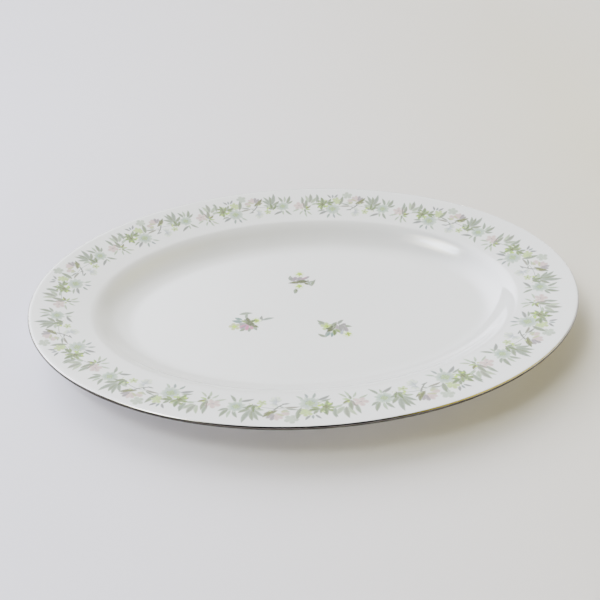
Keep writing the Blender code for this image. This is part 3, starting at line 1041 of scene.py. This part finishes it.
def platinum_material():
    """Platinum, painted dark below as a painted shade and left bright above, rubbed thin along its
    edges and lightly scuffed.
    """
    made, tree, shader = shader_material("platinum")
    tone = mapped(tree, noise(tree, 120.0, 4.0, 0.6), 0.35, 0.65, 0.0, 1.0)
    # the lower part's colour is a painted shade that stands for a dark reflection; the upper part
    # keeps the brighter metal
    painted_dark_metal = mix_colour(tree, tone, *PLATINUM_PAINTED_SHADE)
    bright = mix_colour(tree, tone, *PLATINUM_BRIGHT)
    metal = mix_colour(tree, named_value(tree, "upper", "Fac"), painted_dark_metal, bright)
    inputs = {0: named_value(tree, "edge", "Fac"), 1: noise(tree, 420.0, 4.0, 0.65)}
    rub = new_node(tree, "ShaderNodeMath", inputs, operation="MULTIPLY")
    worn = mapped(tree, rub.outputs[0], 0.50, 0.60, 0.0, 1.0)
    set_inputs(tree, shader, {
        "Base Color": mix_colour(tree, worn, metal, PLATINUM_WORN),
        "Metallic": mapped(tree, worn, 0.0, 1.0, 1.0, 0.0),
        "Roughness": mapped(tree, noise(tree, 260.0, 5.0, 0.6), 0.3, 0.7, 0.06, 0.17),
        "Normal": bump(tree, noise(tree, 500.0, 2.0, 0.5), 0.15, 0.00004),
    })
    return made


def clay_material():
    """Unglazed foot: dry pale biscuit with fine grain and grey rub marks from the shelf."""
    made, tree, shader = shader_material("bare_clay")
    tone = mapped(tree, noise(tree, 60.0, 5.0, 0.6), 0.35, 0.65, 0.0, 1.0)
    clay = mix_colour(tree, tone, *CLAY)
    rubbed = mapped(tree, noise(tree, 210.0, 5.0, 0.7), 0.56, 0.68, 0.0, 0.5)
    set_inputs(tree, shader, {
        "Base Color": mix_colour(tree, rubbed, clay, CLAY_RUBBED),
        "Roughness": mapped(tree, tone, 0.0, 1.0, 0.72, 0.9),
        "Normal": bump(tree, noise(tree, 2400.0, 3.0, 0.7), 0.6, 0.00012),
    })
    return made


def floor_material():
    """Pale studio paper round the platter, with painted light: painted cool light to the left, painted
    warm shade to the right, and painted shade towards the front.
    """
    made, tree, shader = shader_material("studio_paper")
    split = new_node(tree, "ShaderNodeSeparateXYZ", {"Vector": own_place(tree)})
    reach = vector_math(tree, "LENGTH", own_place(tree))
    away = mapped(tree, reach.outputs["Value"], 0.35, 1.5, 0.0, 1.0)
    # painted light: painted cool light on the left, painted warm shade on the right, painted shade
    # towards the front and painted light towards the back
    across = mapped(tree, split.outputs["X"], -0.3, 0.3, 0.0, 1.0)
    paper_with_painted_light = mix_colour(tree, across, PAPER_LEFT_PAINTED_COOL_LIGHT, PAPER_RIGHT_PAINTED_WARM_SHADE)
    painted_front_back_shade = mapped(tree, split.outputs["Y"], -0.3, 0.3, 0.935, 1.03)
    paper_with_painted_light = mix_colour(tree, away, washed(tree, paper_with_painted_light, painted_front_back_shade), PAPER_FAR)
    tone = mapped(tree, noise(tree, 3.0, 3.0, 0.5), 0.3, 0.7, 0.985, 1.01)
    paper_with_painted_light = washed(tree, paper_with_painted_light, tone)
    set_inputs(tree, shader, {"Base Color": paper_with_painted_light, "Roughness": 0.62, "Specular IOR Level": 0.25})
    return made


# ---- stage


def make_floor(material):
    """A wide round floor of pale paper that curves up into a low backdrop."""
    profile = [(FLOOR_RADIUS * share, 0.0) for share in (0.15, 0.3, 0.5, 0.75)]
    for step in range(SWEEP_STEPS + 1):
        angle = SWEEP_END * step / SWEEP_STEPS
        radius = FLOOR_RADIUS + SWEEP_RADIUS * math.sin(angle)
        profile.append((radius, SWEEP_RADIUS * (1 - math.cos(angle))))
    turns = [2 * math.pi * step / FLOOR_SEGMENTS for step in range(FLOOR_SEGMENTS)]
    points = [(0.0, 0.0, 0.0)]
    for radius, height in profile:
        points += [(radius * math.cos(turn), radius * math.sin(turn), height) for turn in turns]
    faces = [(0, 1 + step, 1 + (step + 1) % FLOOR_SEGMENTS) for step in range(FLOOR_SEGMENTS)]
    for ring in range(len(profile) - 1):
        low = 1 + ring * FLOOR_SEGMENTS
        faces += ring_faces(low + FLOOR_SEGMENTS, low, FLOOR_SEGMENTS)
    return build("studio_floor", points, faces, material)


def towards(azimuth, elevation):
    """Unit vector at an azimuth and elevation in degrees."""
    flat = math.cos(math.radians(elevation))
    turn = math.radians(azimuth)
    return Vector((flat * math.cos(turn), flat * math.sin(turn), math.sin(math.radians(elevation))))


def make_window():
    """A soft light aimed at the middle of the platter."""
    data = bpy.data.lights.new("window", "AREA")
    data.shape = "RECTANGLE"
    data.size, data.size_y = WINDOW_SIZE
    data.energy = WINDOW_POWER
    data.color = WINDOW_COLOUR
    obj = bpy.data.objects.new("window", data)
    bpy.context.scene.collection.objects.link(obj)
    way = towards(*WINDOW_WAY)
    obj.location = way * WINDOW_DISTANCE
    obj.rotation_mode = "QUATERNION"
    obj.rotation_quaternion = (-way).to_track_quat("-Z", "Y")


def make_world():
    """Even studio air, made of broad patches of light that fade out smoothly."""
    world = bpy.data.worlds.new("studio_air")
    world.use_nodes = True
    tree = world.node_tree
    way = tree.nodes.new("ShaderNodeTexCoord").outputs["Generated"]
    total = (0.0, 0.0, 0.0)
    for azimuth, elevation, radius, strength in WORLD_PATCHES:
        nearness = vector_math(tree, "DOT_PRODUCT", way, towards(azimuth, elevation))
        edge = math.cos(math.radians(radius))
        inputs = {"Value": nearness.outputs["Value"], "From Min": edge}
        share = new_node(tree, "ShaderNodeMapRange", inputs, interpolation_type="SMOOTHSTEP")
        total = vector_math(tree, "MULTIPLY_ADD", share.outputs["Result"], strength, total)
        total = total.outputs["Vector"]
    set_inputs(tree, tree.nodes["Background"], {"Color": total})
    bpy.context.scene.world = world


def make_camera():
    """A camera in front of the platter, aimed past its middle by two small turns."""
    flat = math.cos(CAMERA_ELEVATION)
    back = Vector((
        math.sin(CAMERA_SIDE) * flat,
        -math.cos(CAMERA_SIDE) * flat,
        math.sin(CAMERA_ELEVATION),
    ))
    data = bpy.data.cameras.new("camera")
    data.sensor_width = 36.0
    data.lens = CAMERA_LENS
    data.clip_start = 0.01
    data.clip_end = 100.0
    obj = bpy.data.objects.new("camera", data)
    bpy.context.scene.collection.objects.link(obj)
    obj.location = back * CAMERA_DISTANCE
    obj.rotation_mode = "QUATERNION"
    look = (-back).to_track_quat("-Z", "Y")
    sideways = Quaternion((0, 1, 0), LOOK_SIDEWAYS)
    upwards = Quaternion((1, 0, 0), LOOK_UPWARDS)
    obj.rotation_quaternion = look @ sideways @ upwards
    bpy.context.scene.camera = obj


# ---- assembly


def attach(obj, node):
    """Every piece rides on the one body and stands for one CAD node."""
    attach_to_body(obj, "root")
    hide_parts(node)


def make_border(material):
    """The repeats of the border, each with its own small accidents of hand and print."""
    for repeat in range(REPEATS):
        rng = np.random.default_rng(100 + repeat)
        enamel = Enamel(BORDER_EDGE_FADE)

        def find_frame(along, inwards, repeat=repeat):
            return rim_frame(repeat, along, inwards)

        paint_repeat(Painter(enamel, find_frame, rng))
        node = f"border_transfer_{repeat + 1:02d}"
        for obj in enamel.objects(f"border_{repeat + 1:02d}", material):
            attach(obj, node)


def make_sprays(material):
    """The three sprays, evenly round a circle that lies a little off centre."""
    painters = {"back": paint_back_spray, "left": paint_left_spray, "right": paint_right_spray}
    for index, (side, paint) in enumerate(painters.items()):
        angle = SPRAY_FIRST_ANGLE + index * 2 * math.pi / 3
        middle_x = SPRAY_CIRCLE_CENTRE[0] + SPRAY_CIRCLE_RADIUS * math.cos(angle)
        middle_y = SPRAY_CIRCLE_CENTRE[1] + SPRAY_CIRCLE_RADIUS * math.sin(angle)
        enamel = Enamel(SPRAY_EDGE_FADE)

        def find_frame(x, y, middle_x=middle_x, middle_y=middle_y):
            return floor_frame(middle_x + x / 1000, middle_y + y / 1000)

        paint(Painter(enamel, find_frame, np.random.default_rng(300 + index)))
        for obj in enamel.objects(f"spray_{side}", material):
            attach(obj, f"centre_spray_{side}")


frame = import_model()

attach(make_body(glaze_material()), "platter_body")
attach(make_foot(clay_material()), "foot_ring")
attach(make_line(platinum_material()), "rim_band")
transfer_enamel = enamel_material()
make_border(transfer_enamel)
make_sprays(transfer_enamel)

make_floor(floor_material())
make_window()
make_world()
make_camera()
